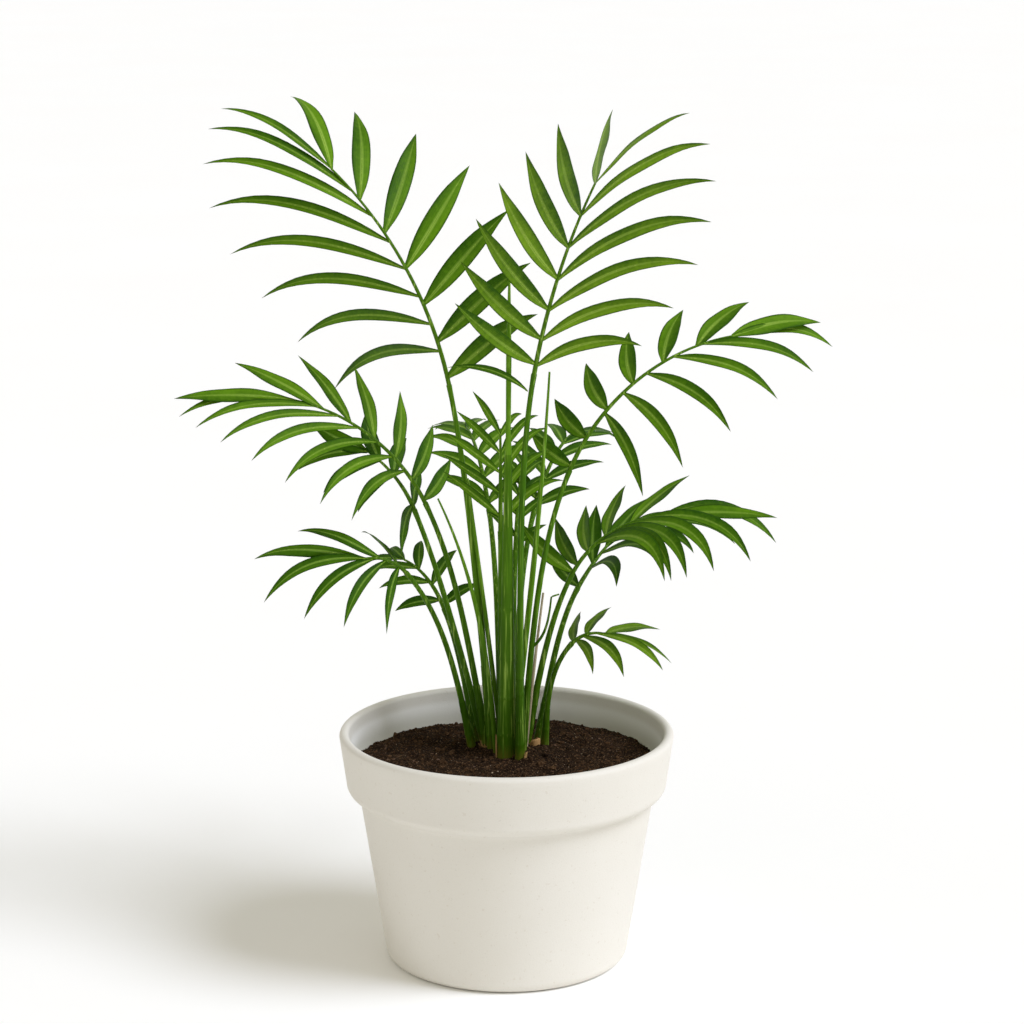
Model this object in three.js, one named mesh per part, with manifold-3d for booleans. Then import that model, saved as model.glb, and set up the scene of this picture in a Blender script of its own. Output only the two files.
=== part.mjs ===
// Potted parlour palm: a clump of leaning canes with arching feather fronds in a round pot.
// Millimetres, +Z up, the front of the pot faces -Y, the origin is the centre of its underside.
// A frond grows from a foot on the soil: a cane with a flat cut, a petiole and a blade of leaflets.
import * as THREE from 'three';
import { mergeVertices } from 'three/addons/utils/BufferGeometryUtils.js';
import Module from 'manifold-3d';

const wasm = await Module();
wasm.setup();

// Pot, turned about Z
const POT_HEIGHT = 119.7;
const LIP_RADIUS = 85;
const LIP_ROUND = 2.5;
const BAND_RADIUS = 81.6;
const BAND_FOOT = 93.4;
const BAND_ROUND = 5.6;
const NECK_RADIUS = 75.2;
const FOOT_RADIUS = 62.2;
const FOOT_ROUND = 5.8;
const FLOOR_THICKNESS = 6;
const INNER_LIP_RADIUS = 80;
const INNER_SOIL_RADIUS = 77.3;
const INNER_NECK_RADIUS = 70.5;
const INNER_NECK_HEIGHT = 86;
const INNER_FOOT_RADIUS = 57.5;
const INNER_FOOT_HEIGHT = 8;
const FLOOR_RADIUS = 55.5;
const TURNED_SIDES = 56;

// Soil, a plug that fills the pot to below its lip
const SOIL_HEIGHT = 103;
const GAP = 0.3;
const GROUND = SOIL_HEIGHT + GAP;

// Limbs and leaflets
const CANE_SIDES = 8;
const CANE_STEPS = 3;
const PETIOLE_SIDES = 6;
const PETIOLE_STEPS = 6;
const RIB_SIDES = 5;
const RIB_STEPS = 6;
const PATH_STEPS = 16;
const CANE_TOP_SHARE = 0.72;
const PETIOLE_FOOT_SHARE = 0.66;
const NECK_RADIUS_OF_FROND = 1.3;
const RIB_TIP_RADIUS = 0.6;
const LEAF_SECTION_SIDES = 4;
const LEAF_STEPS = 5;
const NARROWEST_SHARE = 0.6;
const LEAF_SHOULDER = 0.86;
const LEAF_FULLNESS = 0.8;
const LEAF_FOOT_SHARE = 0.2;
const LEAF_THICKNESS_SHARE = 0.012;
const LEAF_SHORTENING = 2.2;

const GREEN = { dark: 0x3a5f16, mid: 0x4b7620, light: 0x5f8f2a, cane: 0x4f7a24, young: 0x6f9a38 };
const DRY = 0xb39a68;
const CLAY = 0xedebe6;
const EARTH = 0x2a211b;

// One entry a frond, in millimetres and degrees.
// foot: where its cane stands. head: the way it leans. lean: off upright at the foot, the neck and
// the tip. ease: how late the petiole bends. cane, stalk, rib: lengths along the path, the stalk
// from the foot to the neck. girth: the cane's radius at the foot. face: azimuth and height that
// the blade faces at its base and at its tip. gather: over one, leaflets stand closer at the base.
// left, right: a row of leaflets, with the length and width of the largest. spread: their angle
// off the rib at the base, what the middle adds, and at the tip. bow: how an angle grows along a
// leaflet. first: where on the rib the row begins. lift: off the blade. droop: how far tips hang.
// ends: share of the longest leaflet at the base and at the tip. lone: a single leaflet that grows
// from the petiole below the blade, at the share first of the stalk, clear of its middle line, and
// of its own tone.
const FRONDS = {
  upper_left: {
    foot: [-7, 14], head: 165.5, lean: [5.5, 12, 47], ease: 4, cane: 46, stalk: 192, rib: 125, girth: 3.2,
    face: [[-128, 4], [-40, 8]], gather: 1.04, tone: 'mid',
    left: {
      count: 8, longest: 100, width: 6, spread: [101, -8, 6], bow: 5,
      first: 0.14, lift: -29, droop: 0.7, ends: [1.25, 0.65],
    },
    right: {
      count: 7, longest: 64.5, width: 10.5, spread: [56, 10, 36], bow: -16,
      first: 0.03, lift: -12, droop: 1, ends: [0.95, 1],
    },
  },
  upper_right: {
    foot: [7, -3], head: -40, lean: [0, 12.5, 30], ease: 4, cane: 44, stalk: 201.5, rib: 104.5, girth: 2.8,
    face: [[-55, 60], [-38, 55]], gather: 1.12, tone: 'light',
    left: {
      count: 7, longest: 84.5, width: 8.5, spread: [58, -5, 45], bow: -20,
      first: 0.05, lift: 11, droop: 0.2, ends: [0.75, 1.25],
    },
    right: {
      count: 7, longest: 83.5, width: 8.5, spread: [64, -2, 35], bow: 38,
      first: 0.04, lift: 25, droop: 0.3, ends: [0.6, 0.7],
    },
    lone: {
      longest: 44, width: 3.6, spread: [78, 0, 78], bow: 50,
      first: 0.955, lift: -45, droop: 0.05, ends: [1, 1], clear: 1.9, tone: 'dark',
    },
  },
  right_arch: {
    foot: [8, 10], head: 17.5, lean: [5, 24, 83], ease: 3, cane: 36, stalk: 150, rib: 113, girth: 2.6,
    face: [[-7, 68], [-118, 32]], gather: 1.08, tone: 'mid',
    left: {
      count: 7, longest: 38.5, width: 9.5, spread: [75, 19, 1], bow: -29,
      first: 0.02, lift: -6, droop: 0.1, ends: [0.7, 1.3],
    },
    right: {
      count: 6, longest: 62, width: 7, spread: [140, 10, -1], bow: 9,
      first: 0.3, lift: 7, droop: 0.9, ends: [0.4, 0.95],
    },
  },
  left_arch: {
    foot: [-10, 20.5], head: 173, lean: [9.8, 26, 78.5], ease: 3, cane: 34, stalk: 133, rib: 87.5, girth: 2.8,
    face: [[-165, 77], [-111, 58]], gather: 1.1, tone: 'mid',
    left: {
      count: 7, longest: 71.5, width: 6, spread: [99, 3, 18], bow: 26,
      first: 0.22, lift: 4, droop: 0.5, ends: [0.4, 0.85],
    },
    right: {
      count: 7, longest: 47, width: 8.5, spread: [78, 13, -16], bow: -19,
      first: 0.02, lift: 2, droop: 0, ends: [0.85, 1.3],
    },
  },
  low_left: {
    foot: [-18, 20], head: 192, lean: [11.5, 40, 95.5], ease: 2.5, cane: 26, stalk: 102, rib: 23, girth: 2.6,
    face: [[-158, 64], [-22, 0]], gather: 0.82, tone: 'dark',
    left: {
      count: 4, longest: 46, width: 5.5, spread: [103, 15, -5], bow: 18,
      first: 0.2, lift: -11, droop: 1.3, ends: [0.85, 1.3],
    },
    right: {
      count: 3, longest: 46.5, width: 6.5, spread: [60, -10, 24], bow: 10,
      first: 0.17, lift: -6, droop: 0.85, ends: [0.45, 1.25],
    },
  },
  low_right: {
    foot: [10, 24], head: 4, lean: [10.5, 27, 87.5], ease: 3, cane: 30, stalk: 94.5, rib: 57.5, girth: 3,
    face: [[-5, 61], [-148, 33]], gather: 1.58, tone: 'mid',
    left: {
      count: 6, longest: 45.5, width: 9, spread: [76, 22, -6], bow: -27,
      first: 0.02, lift: -9, droop: 0, ends: [0.8, 1.3],
    },
    right: {
      count: 6, longest: 70, width: 8, spread: [43, 38, 3], bow: 60,
      first: 0.34, lift: 6, droop: 0.9, ends: [0.55, 0.95],
    },
  },
  inner_left: {
    foot: [-11, 26], head: 157, lean: [16, 24.5, 60.5], ease: 3, cane: 30, stalk: 128, rib: 39, girth: 2.6,
    face: [[-16, 35], [-168, 48]], gather: 0.6, tone: 'dark',
    left: {
      count: 4, longest: 35, width: 6.5, spread: [119, 18, 46], bow: 33,
      first: 0.06, lift: -2, droop: 0.4, ends: [1.2, 1.1],
    },
    right: {
      count: 4, longest: 26, width: 8.5, spread: [47, 39, -4], bow: 24,
      first: 0.04, lift: 12, droop: 0.3, ends: [1.2, 1.3],
    },
  },
  inner_right: {
    foot: [16, 29], head: 56.5, lean: [19, 52, 73], ease: 3, cane: 24, stalk: 85.5, rib: 47, girth: 2.6,
    face: [[-138, 14], [-45, 69]], gather: 0.9, tone: 'dark',
    left: {
      count: 4, longest: 44.5, width: 9.5, spread: [58, -3, -20], bow: -11,
      first: 0.02, lift: 16, droop: 0, ends: [0.7, 1.3],
    },
    right: {
      count: 4, longest: 54.5, width: 8, spread: [129, 1, 78], bow: 60,
      first: 0.29, lift: 30, droop: 0.6, ends: [0.5, 1.3],
    },
  },
  small_right: {
    foot: [20, 24], head: 0, lean: [2.5, 43.5, 104.5], ease: 2.5, cane: 20, stalk: 58, rib: 18.5, girth: 2.4,
    face: [[-148, 64], [-58, 72]], gather: 1.28, tone: 'light',
    left: {
      count: 3, longest: 33.5, width: 7, spread: [76, -1, 46], bow: -30,
      first: 0.07, lift: -7, droop: 0.15, ends: [1, 1.3],
    },
    right: {
      count: 4, longest: 48, width: 6, spread: [94, 5, 4], bow: 37,
      first: 0.12, lift: -4, droop: 0.5, ends: [0.4, 0.8],
    },
  },
  heart: {
    foot: [-3, 10], head: -93, lean: [-2, 1, 3], ease: 1, cane: 26, stalk: 117, rib: 50, girth: 2.2,
    face: [[-89, 7], [-54, 10]], gather: 0.9, tone: 'mid',
    left: {
      count: 5, longest: 38, width: 4.5, spread: [44, 14, 34], bow: 6,
      first: 0.15, lift: 0, droop: 0, ends: [1, 0.8],
    },
    right: {
      count: 5, longest: 37, width: 5, spread: [50, -8, 51], bow: 23,
      first: 0.09, lift: -10, droop: 0.75, ends: [1.15, 0.5],
    },
  },
  back: {
    foot: [3, 16], head: 85, lean: [5, 26, 72], ease: 3, cane: 28, stalk: 104, rib: 56, girth: 2.2,
    face: [[-90, 60], [-90, 80]], gather: 1, tone: 'dark',
    left: {
      count: 5, longest: 24, width: 4.5, spread: [48, 0, 20], bow: 10,
      first: 0.12, lift: 0, droop: 0.4, ends: [0.8, 0.9],
    },
    right: {
      count: 5, longest: 24, width: 4.5, spread: [48, 0, 20], bow: 10,
      first: 0.04, lift: 0, droop: 0.4, ends: [0.8, 0.9],
    },
  },
  back_right: {
    foot: [3, 26], head: 72, lean: [8, 46, 98], ease: 3, cane: 30, stalk: 124, rib: 92, girth: 2.4,
    face: [[-60, 78], [64, 70]], gather: 1, tone: 'dark',
    left: {
      count: 6, longest: 40, width: 7.5, spread: [50, 0, 18], bow: 12,
      first: 0.08, lift: 0, droop: 0.4, ends: [0.75, 0.9],
    },
    right: {
      count: 6, longest: 40, width: 7.5, spread: [50, 0, 18], bow: 12,
      first: 0.04, lift: 0, droop: 0.4, ends: [0.75, 0.9],
    },
  },
  back_left: {
    foot: [-3, 20], head: 100, lean: [7, 46, 96], ease: 3, cane: 32, stalk: 126, rib: 92, girth: 2.4,
    face: [[-110, 78], [112, 70]], gather: 1, tone: 'mid',
    left: {
      count: 6, longest: 40, width: 7.5, spread: [50, 0, 18], bow: 12,
      first: 0.08, lift: 0, droop: 0.4, ends: [0.75, 0.9],
    },
    right: {
      count: 6, longest: 40, width: 7.5, spread: [50, 0, 18], bow: 12,
      first: 0.04, lift: 0, droop: 0.4, ends: [0.75, 0.9],
    },
  },
  left_back: {
    foot: [-16, 30], head: 130, lean: [16, 34, 84], ease: 2.5, cane: 20, stalk: 72, rib: 40, girth: 2.4,
    face: [[-100, 50], [-120, 70]], gather: 1, tone: 'dark',
    left: {
      count: 4, longest: 28, width: 6, spread: [76, 0, 20], bow: 6,
      first: 0.12, lift: 0, droop: 0.6, ends: [0.8, 0.95],
    },
    right: {
      count: 4, longest: 28, width: 6, spread: [76, 0, 20], bow: 6,
      first: 0.05, lift: 0, droop: 0.6, ends: [0.8, 0.95],
    },
  },
};

// Shoots with no blade: lean at the foot and at the tip, and radii at the foot, middle and tip.
const SHOOTS = {
  spear_right: { foot: [3, 9], head: 0, lean: [6.5, 3], ease: 2, length: 200, radii: [1.8, 1.6, 0.6] },
  spear_left: { foot: [-5.5, 6.5], head: 170, lean: [4, 26], ease: 1.6, length: 138, radii: [1.4, 1.3, 0.5] },
  spear_inner: { foot: [-2, 15], head: 186, lean: [7, 7], ease: 1, length: 145, radii: [1.5, 1.3, 0.6] },
  dry_stalk: { foot: [10, 17], head: 0, lean: [5, 7], ease: 1, length: 84, radii: [1.1, 0.9, 0.6] },
};

// The middle shoot: a stout cane with a spear of furled leaf on its tip
const MIDDLE = { foot: [0, 2], head: -82, lean: [2, 3], ease: 1, length: 258, cane: 160 };
const MIDDLE_CANE_RADII = [5.2, 3.2, 1.8];
const MIDDLE_SPEAR_RADII = [1.2, 1.4, 0.4];

const radians = THREE.MathUtils.degToRad;
const mix = THREE.MathUtils.lerp;

// The way a path runs that leans off upright towards a heading
function way(lean, head) {
  const off = radians(lean);
  const turn = radians(head);
  const flat = Math.sin(off);
  return new THREE.Vector3(flat * Math.cos(turn), flat * Math.sin(turn), Math.cos(off));
}

function facing(azimuth, height) {
  return way(90 - height, azimuth);
}

// A path as points one step apart, from a start and the lean at every share of its length
function grow(start, head, leanAt, length) {
  const points = [start.clone()];
  for (let step = 0; step < PATH_STEPS; step += 1) {
    const along = way(leanAt((step + 0.5) / PATH_STEPS), head);
    points.push(points[step].clone().addScaledVector(along, length / PATH_STEPS));
  }
  return points;
}

function pointAt(points, share) {
  const place = THREE.MathUtils.clamp(share, 0, 1) * PATH_STEPS;
  const step = Math.min(Math.floor(place), PATH_STEPS - 1);
  return points[step].clone().lerp(points[step + 1], place - step);
}

// A form of unit height bent onto a path. place(share) gives the point, the way along, the
// normal and the half sizes across and through at that share of the height.
function bendOnto(form, place) {
  const spots = form.getAttribute('position');
  for (let index = 0; index < spots.count; index += 1) {
    const turn = Math.atan2(spots.getX(index), spots.getZ(index));
    const onAxis = Math.hypot(spots.getX(index), spots.getZ(index)) < 1e-6;
    const { point, along, normal, across, through } = place(spots.getY(index) + 0.5);
    const sideways = along.clone().cross(normal);
    if (!onAxis) {
      point.addScaledVector(sideways, across * Math.sin(turn));
      point.addScaledVector(normal, through * Math.cos(turn));
    }
    spots.setXYZ(index, point.x, point.y, point.z);
  }
  return form;
}

// A round tapering limb between two shares of a path. A standing one has its foot cut level.
function limb(path, from, to, radiusAt, sides, steps, standing = false) {
  const form = new THREE.CylinderGeometry(1, 1, 1, sides, steps);
  const level = facing(path.head + 90, 0);
  return bendOnto(form, (share) => {
    const at = mix(from, to, share);
    const along = standing && share === 0 ? way(0, path.head) : way(path.leanAt(at), path.head);
    const normal = level.clone().cross(along);
    const radius = radiusAt(share);
    return { point: pointAt(path.points, at), along, normal, across: radius, through: radius };
  });
}

// The path of a stem from its foot on the ground
function stemPath(stem, length) {
  const leanAt = (share) => mix(stem.lean[0], stem.lean[1], share ** stem.ease);
  const start = new THREE.Vector3(stem.foot[0], stem.foot[1], GROUND);
  return { head: stem.head, leanAt, points: grow(start, stem.head, leanAt, length) };
}

function ribOf(frond, stalk) {
  const leanAt = (share) => mix(frond.lean[1], frond.lean[2], share);
  const start = stalk.points[PATH_STEPS];
  return { head: frond.head, leanAt, points: grow(start, frond.head, leanAt, frond.rib) };
}

// Half the width of a leaflet along it, as a share of its half width at the widest
function swell(share) {
  const leaf = Math.sin(Math.PI * share ** LEAF_SHOULDER) ** LEAF_FULLNESS;
  return Math.max(leaf, LEAF_FOOT_SHARE * (1 - share));
}

// One leaflet: a thin blade, four-sided in section, that bows and droops to a point
function leaflet(frond, rib, row, sign, share) {
  const along = way(rib.leanAt(share), frond.head);
  const face = facing(...frond.face[0]).lerp(facing(...frond.face[1]), share).normalize();
  const normal = face.addScaledVector(along, -face.dot(along)).normalize();
  const lift = radians(row.lift);
  const out = along.clone().cross(normal).multiplyScalar(sign * Math.cos(lift));
  out.addScaledVector(normal, Math.sin(lift));

  const end = share < 0.5 ? row.ends[0] : row.ends[1];
  const size = 1 - (1 - end) * Math.abs(2 * share - 1) ** LEAF_SHORTENING;
  const length = row.longest * size;
  const halfWidth = (row.width * mix(NARROWEST_SHARE, 1, size)) / 2;
  const halfThickness = (length * LEAF_THICKNESS_SHARE) / 2;
  const swing = row.spread[1] * 4 * share * (1 - share);
  const spread = mix(row.spread[0], row.spread[2], share) + swing - row.bow / 2;

  const points = [pointAt(rib.points, share)];
  if (row.clear) {
    points[0].addScaledVector(out, row.clear);
  }
  const ways = [];
  for (let step = 0; step < LEAF_STEPS; step += 1) {
    const place = (step + 0.5) / LEAF_STEPS;
    const angle = radians(spread + row.bow * place);
    const run = along.clone().multiplyScalar(Math.cos(angle)).addScaledVector(out, Math.sin(angle));
    run.z -= row.droop * place ** 2 * Math.hypot(run.x, run.y);
    run.normalize();
    ways.push(run);
    points.push(points[step].clone().addScaledVector(run, length / LEAF_STEPS));
  }

  const form = new THREE.ConeGeometry(1, 1, LEAF_SECTION_SIDES, LEAF_STEPS);
  return bendOnto(form, (height) => {
    const step = Math.round(height * LEAF_STEPS);
    const before = ways[Math.max(step - 1, 0)];
    const after = ways[Math.min(step, LEAF_STEPS - 1)];
    const run = before.clone().add(after).normalize();
    const flat = normal.clone().addScaledVector(run, -normal.dot(run)).normalize();
    const across = halfWidth * swell(height);
    const through = halfThickness * mix(1, 0.5, height);
    return { point: points[step].clone(), along: run, normal: flat, across, through };
  });
}

function toSolid(form) {
  form.deleteAttribute('normal');
  form.deleteAttribute('uv');
  const welded = mergeVertices(form, 1e-4);
  return new wasm.Manifold(new wasm.Mesh({
    numProp: 3,
    vertProperties: welded.getAttribute('position').array,
    triVerts: welded.getIndex().array,
  }));
}

function fromSolid(solid) {
  const mesh = solid.getMesh();
  const form = new THREE.BufferGeometry();
  form.setAttribute('position', new THREE.BufferAttribute(mesh.vertProperties, 3));
  form.setIndex(new THREE.BufferAttribute(mesh.triVerts, 1));
  return form;
}

// The blade: the rib from the neck to the tip with both rows of leaflets joined to it
function blade(frond, rib) {
  const ribRadius = (share) => mix(NECK_RADIUS_OF_FROND, RIB_TIP_RADIUS, share);
  let solid = toSolid(limb(rib, 0, 1, ribRadius, RIB_SIDES, RIB_STEPS));
  for (const sign of [-1, 1]) {
    const row = sign < 0 ? frond.left : frond.right;
    for (let number = 0; number < row.count; number += 1) {
      const share = mix(row.first, 1, (number / (row.count - 1)) ** frond.gather);
      solid = solid.add(toSolid(leaflet(frond, rib, row, sign, share)));
    }
  }
  return fromSolid(solid);
}

const palm = new THREE.Group();
palm.name = 'potted_parlour_palm';

function addNode(name, form, colour, roughness) {
  const skin = new THREE.MeshStandardMaterial({ color: colour, roughness });
  const node = new THREE.Mesh(form, skin);
  node.name = name;
  palm.add(node);
}

function turned(profile) {
  const form = new THREE.LatheGeometry(profile, TURNED_SIDES);
  form.rotateX(Math.PI / 2);
  return form;
}

// Points round a corner of the profile, from one angle to the other
function corner(radius, height, round, from, to, steps) {
  const points = [];
  for (let step = 0; step <= steps; step += 1) {
    const angle = radians(mix(from, to, step / steps));
    const reach = radius + round * Math.cos(angle);
    points.push(new THREE.Vector2(reach, height + round * Math.sin(angle)));
  }
  return points;
}

function potProfile() {
  const lipMiddle = (LIP_RADIUS + INNER_LIP_RADIUS) / 2;
  return [
    new THREE.Vector2(0, 0),
    ...corner(FOOT_RADIUS - FOOT_ROUND, FOOT_ROUND, FOOT_ROUND, -90, -5, 4),
    new THREE.Vector2(NECK_RADIUS, BAND_FOOT - BAND_ROUND),
    ...corner(BAND_RADIUS - BAND_ROUND, BAND_FOOT, BAND_ROUND, -80, 0, 4),
    ...corner(lipMiddle, POT_HEIGHT - LIP_ROUND, LIP_ROUND, 0, 180, 6),
    new THREE.Vector2(INNER_SOIL_RADIUS, SOIL_HEIGHT),
    new THREE.Vector2(INNER_NECK_RADIUS, INNER_NECK_HEIGHT),
    new THREE.Vector2(INNER_FOOT_RADIUS, INNER_FOOT_HEIGHT),
    new THREE.Vector2(FLOOR_RADIUS, FLOOR_THICKNESS),
    new THREE.Vector2(0, FLOOR_THICKNESS),
  ];
}

function soilProfile() {
  return [
    new THREE.Vector2(0, FLOOR_THICKNESS + GAP),
    new THREE.Vector2(FLOOR_RADIUS - GAP, FLOOR_THICKNESS + GAP),
    new THREE.Vector2(INNER_FOOT_RADIUS - GAP, INNER_FOOT_HEIGHT + GAP),
    new THREE.Vector2(INNER_NECK_RADIUS - GAP, INNER_NECK_HEIGHT),
    new THREE.Vector2(INNER_SOIL_RADIUS - GAP, SOIL_HEIGHT),
    new THREE.Vector2(0, SOIL_HEIGHT),
  ];
}

addNode('pot', turned(potProfile()), CLAY, 0.8);
addNode('soil', turned(soilProfile()), EARTH, 1);

for (const [name, frond] of Object.entries(FRONDS)) {
  const stalk = stemPath(frond, frond.stalk);
  const rib = ribOf(frond, stalk);
  const caneEnd = frond.cane / frond.stalk;
  const petioleStart = (frond.cane + GAP) / frond.stalk;
  const petioleEnd = (frond.stalk - GAP) / frond.stalk;
  const caneRadius = (share) => frond.girth * mix(1, CANE_TOP_SHARE, share);
  const petioleRadius = (share) => mix(frond.girth * PETIOLE_FOOT_SHARE, NECK_RADIUS_OF_FROND, share);
  const cane = limb(stalk, 0, caneEnd, caneRadius, CANE_SIDES, CANE_STEPS, true);
  const petiole = limb(stalk, petioleStart, petioleEnd, petioleRadius, PETIOLE_SIDES, PETIOLE_STEPS);
  addNode(`cane_${name}`, cane, GREEN.cane, 0.6);
  addNode(`petiole_${name}`, petiole, GREEN.young, 0.5);
  addNode(`frond_${name}`, blade(frond, rib), GREEN[frond.tone], 0.45);
  if (frond.lone) {
    const leaf = toSolid(leaflet(frond, stalk, frond.lone, -1, frond.lone.first));
    addNode(`lone_leaf_${name}`, fromSolid(leaf), GREEN[frond.lone.tone], 0.45);
  }
}

// The radius along a shoot with three named radii
function threeRadii([foot, middle, tip]) {
  return (share) => (share < 0.5 ? mix(foot, middle, 2 * share) : mix(middle, tip, 2 * share - 1));
}

for (const [name, shoot] of Object.entries(SHOOTS)) {
  const path = stemPath(shoot, shoot.length);
  const form = limb(path, 0, 1, threeRadii(shoot.radii), PETIOLE_SIDES, PETIOLE_STEPS, true);
  addNode(name, form, name === 'dry_stalk' ? DRY : GREEN.young, 0.6);
}

const middle = stemPath(MIDDLE, MIDDLE.length);
const middleTop = MIDDLE.cane / MIDDLE.length;
const spearFoot = (MIDDLE.cane + GAP) / MIDDLE.length;
const middleCane = threeRadii(MIDDLE_CANE_RADII);
const middleSpear = threeRadii(MIDDLE_SPEAR_RADII);
const middleStem = limb(middle, 0, middleTop, middleCane, CANE_SIDES, PETIOLE_STEPS, true);
const middleTip = limb(middle, spearFoot, 1, middleSpear, PETIOLE_SIDES, PETIOLE_STEPS);
addNode('cane_middle', middleStem, GREEN.cane, 0.6);
addNode('spear_middle', middleTip, GREEN.young, 0.5);

export default palm;
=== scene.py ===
"""A young parlour palm in a plain stoneware pot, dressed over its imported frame. Sizes are in mm."""
import math

import bpy
import numpy as np
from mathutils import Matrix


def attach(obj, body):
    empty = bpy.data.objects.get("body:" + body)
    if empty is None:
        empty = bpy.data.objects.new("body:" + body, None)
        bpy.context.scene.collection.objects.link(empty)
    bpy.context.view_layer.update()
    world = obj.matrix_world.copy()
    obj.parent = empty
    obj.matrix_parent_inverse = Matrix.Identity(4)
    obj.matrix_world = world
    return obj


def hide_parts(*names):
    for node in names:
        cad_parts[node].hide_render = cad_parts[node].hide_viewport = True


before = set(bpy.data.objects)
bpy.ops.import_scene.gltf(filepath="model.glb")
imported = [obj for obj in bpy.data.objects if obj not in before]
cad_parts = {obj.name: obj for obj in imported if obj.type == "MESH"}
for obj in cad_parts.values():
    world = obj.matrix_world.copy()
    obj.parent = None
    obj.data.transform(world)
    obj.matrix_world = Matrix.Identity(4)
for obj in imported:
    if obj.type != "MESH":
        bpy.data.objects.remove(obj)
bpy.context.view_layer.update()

MM = 0.001

# The pot, turned round the upright axis
POT_HEIGHT = 119.7
LIP_RADIUS = 85
LIP_ROUND = 2.5
BAND_RADIUS = 81.6
BAND_FOOT = 93.4
BAND_ROUND = 5.6
NECK_RADIUS = 75.2
FOOT_RADIUS = 62.2
FOOT_ROUND = 5.8
FLOOR_THICKNESS = 6
INNER_LIP_RADIUS = 80
INNER_SOIL_RADIUS = 77.3
INNER_NECK_RADIUS = 70.5
INNER_NECK_HEIGHT = 86
INNER_FOOT_RADIUS = 57.5
INNER_FOOT_HEIGHT = 8
FLOOR_RADIUS = 55.5
POT_SIDES = 160
PROFILE_GAP = 3
# Radii over which the painted light on the inner wall of the pot fades in, and the height above which it
# lies; the damp line uses them too
LIP_INSIDE = (79.6, 78.9)
INSIDE_FOOT = 99
DAMP_HEIGHTS = (112, 103)

# The soil and the level that the canes stand on. Its surface has waves (height, length and turn),
# a rise under the clump and a dip along the wall
SOIL_HEIGHT = 103
SOIL_GAP = 0.3
SOIL_SIDES = 168
SOIL_RINGS = 56
GROUND = 103.3
WAVES = ((0.9, 13, 0.4), (0.6, 6.1, 2.1), (0.35, 3.1, 4.0), (0.22, 1.6, 5.2))
WAVE_SQUASH = 1.2
CLUMP_Y = 12
RISE_HEIGHT = 2.2
RISE_REACH = 30
DIP_DEPTH = 1.2
DIP_START = 70
DIP_WIDTH = 8

# The outline of a leaflet, as shares of its length and half width
NARROWEST_SHARE = 0.6
LEAF_SHOULDER = 0.86
LEAF_FULLNESS = 0.8
LEAF_FOOT_SHARE = 0.2
LEAF_SHORTENING = 2.2
LEAF_SCIMITAR = 0.12
LEAF_TIP_START = 0.72
LEAF_TIP_PINCH = 0.32
LEAF_TIP_HANG = 0.05

# The most that a leaflet turns towards its tip, in degrees, how far its place on the rib sets its
# tone, and the gloss of leaf and stalk
LEAF_TWIST = 9
TONE_BY_PLACE = 0.3
LEAF_SHINE = 0.06


def even_rows(left_first, right_first, **row):
    """A left and a right row that differ only in where they begin."""
    return dict(left=dict(first=left_first, **row), right=dict(first=right_first, **row))


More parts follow.
